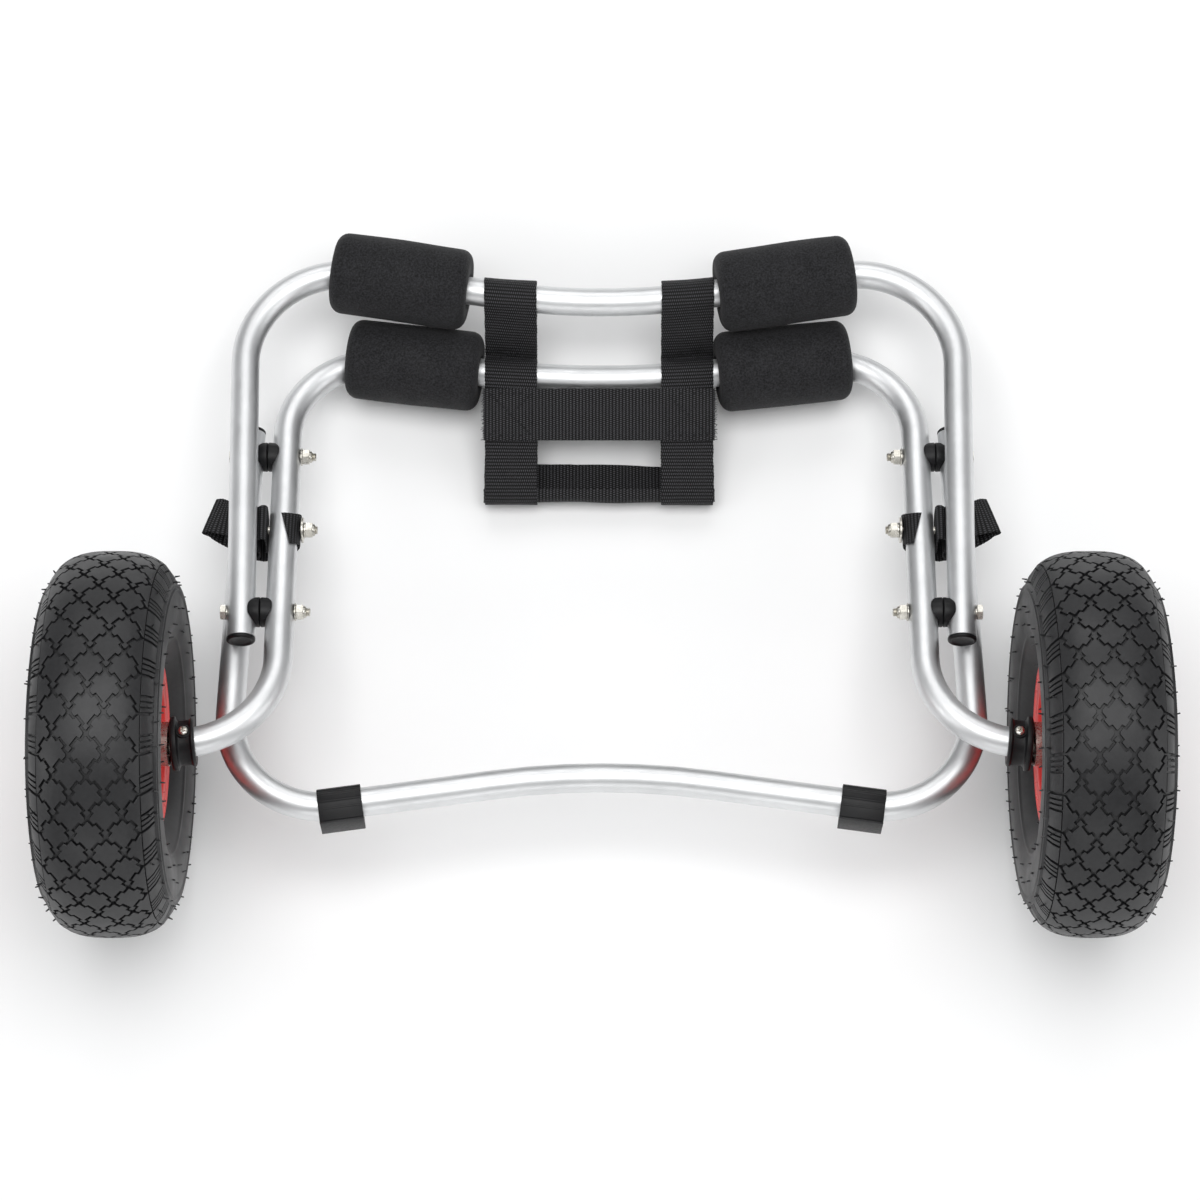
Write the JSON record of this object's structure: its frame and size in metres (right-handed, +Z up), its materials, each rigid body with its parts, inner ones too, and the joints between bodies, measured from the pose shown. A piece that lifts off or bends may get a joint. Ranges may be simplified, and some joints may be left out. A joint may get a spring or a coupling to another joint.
{
  "type": "folding kayak cart",
  "caption": "Folding tubular kayak cart, folded flat, with pneumatic tyres, a hinged cradle frame with foam pads, a hinged stand frame, a webbing sling and check straps.",
  "frame": {"origin": "on the floor, under the middle of the cart's bounding box as it lies folded", "axes": "+X across the cart along its axles, +Y from the wheels to the foam pads, +Z up from the floor"},
  "size_m": [0.745, 0.52, 0.26],
  "materials": {
    "anodised_aluminium": "satin",
    "zinc_steel": "satin",
    "black_plastic": "satin",
    "black_foam": "matte",
    "black_webbing": "matte",
    "tyre_rubber": "matte",
    "tube_rubber": "matte",
    "red_paint": "gloss"
  },
  "bodies": {
    "wheel_frame": {"wheel_frame_tube": "anodised_aluminium", "lower_pivot_saddle_inner_left": "black_plastic", "lower_pivot_bolt_left": "zinc_steel", "lower_pivot_nut_left": "zinc_steel", "upper_pivot_saddle_inner_left": "black_plastic", "upper_pivot_bolt_left": "zinc_steel", "upper_pivot_nut_left": "zinc_steel", "check_strap_bolt_left": "zinc_steel", "check_strap_washer_left": "zinc_steel", "check_strap_nut_left": "zinc_steel", "wheel_frame_pad_left": "black_foam", "axle_collar_left": "black_plastic", "collar_screw_left": "zinc_steel", "axle_bolt_left": "zinc_steel", "sling_strap_left": "black_webbing", "check_strap_left": "black_webbing", "lower_pivot_saddle_inner_right": "black_plastic", "lower_pivot_bolt_right": "zinc_steel", "lower_pivot_nut_right": "zinc_steel", "upper_pivot_saddle_inner_right": "black_plastic", "upper_pivot_bolt_right": "zinc_steel", "upper_pivot_nut_right": "zinc_steel", "check_strap_bolt_right": "zinc_steel", "check_strap_washer_right": "zinc_steel", "check_strap_nut_right": "zinc_steel", "wheel_frame_pad_right": "black_foam", "axle_collar_right": "black_plastic", "collar_screw_right": "zinc_steel", "axle_bolt_right": "zinc_steel", "sling_strap_right": "black_webbing", "check_strap_right": "black_webbing", "sling_front_band": "black_webbing", "sling_rear_band": "black_webbing"},
    "cradle_frame": {"cradle_frame_tube": "anodised_aluminium", "cradle_tube_plug_left": "black_plastic", "lower_pivot_saddle_outer_left": "black_plastic", "cradle_pad_left": "black_foam", "sling_cradle_loop_left": "black_webbing", "cradle_tube_plug_right": "black_plastic", "lower_pivot_saddle_outer_right": "black_plastic", "cradle_pad_right": "black_foam", "sling_cradle_loop_right": "black_webbing"},
    "stand_frame": {"stand_frame_tube": "anodised_aluminium", "stand_tube_plug_left": "black_plastic", "upper_pivot_saddle_outer_left": "black_plastic", "foot_clip_left": "black_plastic", "stand_tube_plug_right": "black_plastic", "upper_pivot_saddle_outer_right": "black_plastic", "foot_clip_right": "black_plastic"},
    "left_wheel": {"tyre_left": "tyre_rubber", "inner_tube_left": "tube_rubber", "rim_outer_half_left": "red_paint", "rim_inner_half_left": "red_paint", "hub_sleeve_left": "zinc_steel"},
    "right_wheel": {"tyre_right": "tyre_rubber", "inner_tube_right": "tube_rubber", "rim_outer_half_right": "red_paint", "rim_inner_half_right": "red_paint", "hub_sleeve_right": "zinc_steel"}
  },
  "joints": [
    {"name": "cradle_fold", "type": "hinge", "parent": "wheel_frame", "child": "cradle_frame", "pos_m": [0, -0.02971, 0.09708], "axis": [1, 0, 0], "range_deg": [0, 65], "deforming": ["sling_strap_left", "sling_strap_right", "sling_front_band", "sling_rear_band"]},
    {"name": "stand_fold", "type": "hinge", "parent": "wheel_frame", "child": "stand_frame", "pos_m": [0, 0.09486, 0.05621], "axis": [1, 0, 0], "range_deg": [0, 42.25], "deforming": ["check_strap_left", "check_strap_right"]},
    {"name": "left_wheel_spin", "type": "hinge", "parent": "wheel_frame", "child": "left_wheel", "pos_m": [-0.328, -0.13004, 0.13], "axis": [1, 0, 0], "continuous": true},
    {"name": "right_wheel_spin", "type": "hinge", "parent": "wheel_frame", "child": "right_wheel", "pos_m": [0.328, -0.13004, 0.13], "axis": [1, 0, 0], "continuous": true}
  ],
  "couplings": [
    {"joint": "stand_fold", "follows": "cradle_fold", "ratio": 0.65}
  ]
}
